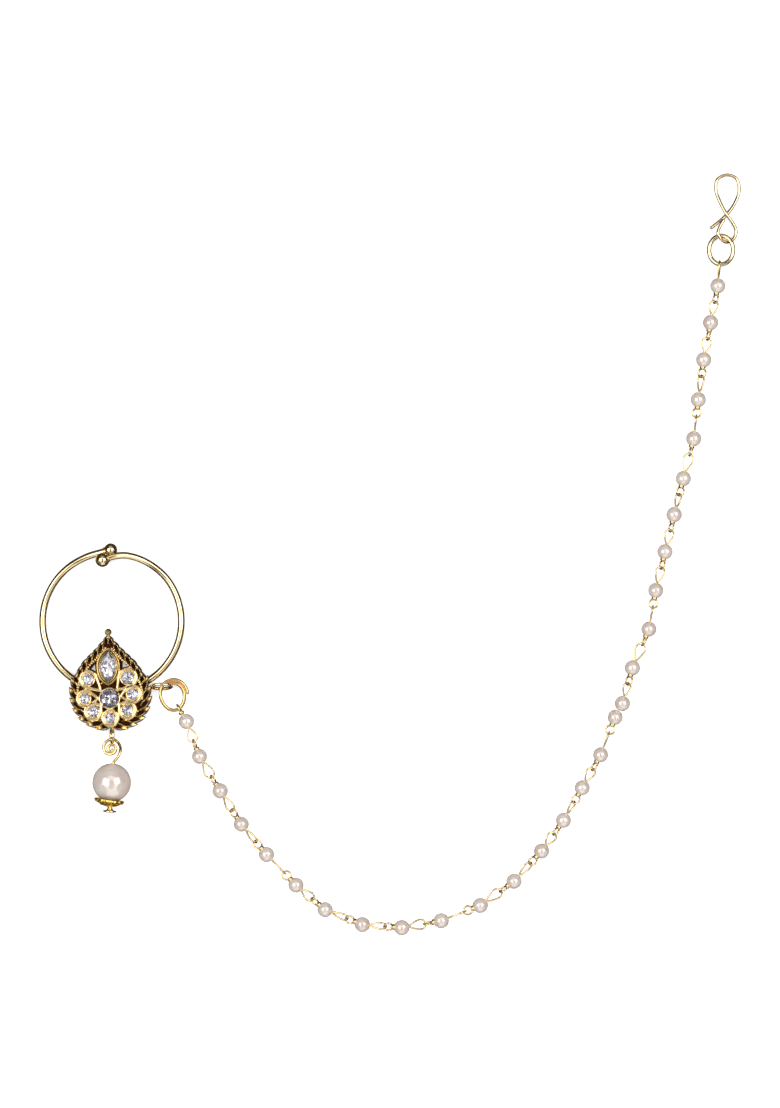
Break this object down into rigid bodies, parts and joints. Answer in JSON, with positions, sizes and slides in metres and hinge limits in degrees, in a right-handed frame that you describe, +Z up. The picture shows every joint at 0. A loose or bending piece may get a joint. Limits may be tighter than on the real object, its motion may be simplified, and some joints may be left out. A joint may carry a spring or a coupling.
{
  "type": "nath nose ring",
  "caption": "Nose hoop with a stone-set pear-shaped plaque and a pearl drop, joined by a chain of small pearls to a ring and a wire hook for the hair.",
  "frame": {"origin": "centre of the overall outline, on the surface that the piece lies on", "axes": "+Y from the pearl drop towards the gap of the hoop, +X from the hoop towards the hair hook, +Z up off the surface"},
  "size_m": [0.1832, 0.1988, 0.01],
  "materials": {
    "antique_gold": "polished antique gold plate, dark in the recesses",
    "orange_gold": "polished warm gold plate",
    "pale_gold_wire": "polished pale gold wire",
    "bright_gold": "bright yellow gold plate",
    "pearl": "pearl coat over glass, soft lustre",
    "crystal": "clear cut stones"
  },
  "bodies": {
    "root": {"hoop_and_plaque": "antique_gold", "marquise_stone": "crystal", "centre_stone": "crystal", "side_stone_top_left": "crystal", "side_stone_top_right": "crystal", "side_stone_left": "crystal", "side_stone_right": "crystal", "side_stone_low_left": "crystal", "side_stone_low_right": "crystal", "side_stone_foot": "crystal", "drop_pin": "pale_gold_wire", "drop_pearl": "pearl", "drop_cap": "bright_gold", "chain_ring": "orange_gold", "chain_pearl_01": "pearl", "chain_pearl_02": "pearl", "chain_pearl_03": "pearl", "chain_pearl_04": "pearl", "chain_pearl_05": "pearl", "chain_pearl_06": "pearl", "chain_pearl_07": "pearl", "chain_pearl_08": "pearl", "chain_pearl_09": "pearl", "chain_pearl_10": "pearl", "chain_pearl_11": "pearl", "chain_pearl_12": "pearl", "chain_pearl_13": "pearl", "chain_pearl_14": "pearl", "chain_pearl_15": "pearl", "chain_pearl_16": "pearl", "chain_pearl_17": "pearl", "chain_pearl_18": "pearl", "chain_pearl_19": "pearl", "chain_pearl_20": "pearl", "chain_pearl_21": "pearl", "chain_pearl_22": "pearl", "chain_pearl_23": "pearl", "chain_pearl_24": "pearl", "chain_pearl_25": "pearl", "chain_pearl_26": "pearl", "chain_pearl_27": "pearl", "chain_pearl_28": "pearl", "chain_pearl_29": "pearl", "chain_links_1": "pale_gold_wire", "chain_links_2": "pale_gold_wire", "chain_links_3": "pale_gold_wire", "chain_links_4": "pale_gold_wire", "end_ring": "antique_gold", "hair_hook": "antique_gold"}
  },
  "joints": []
}
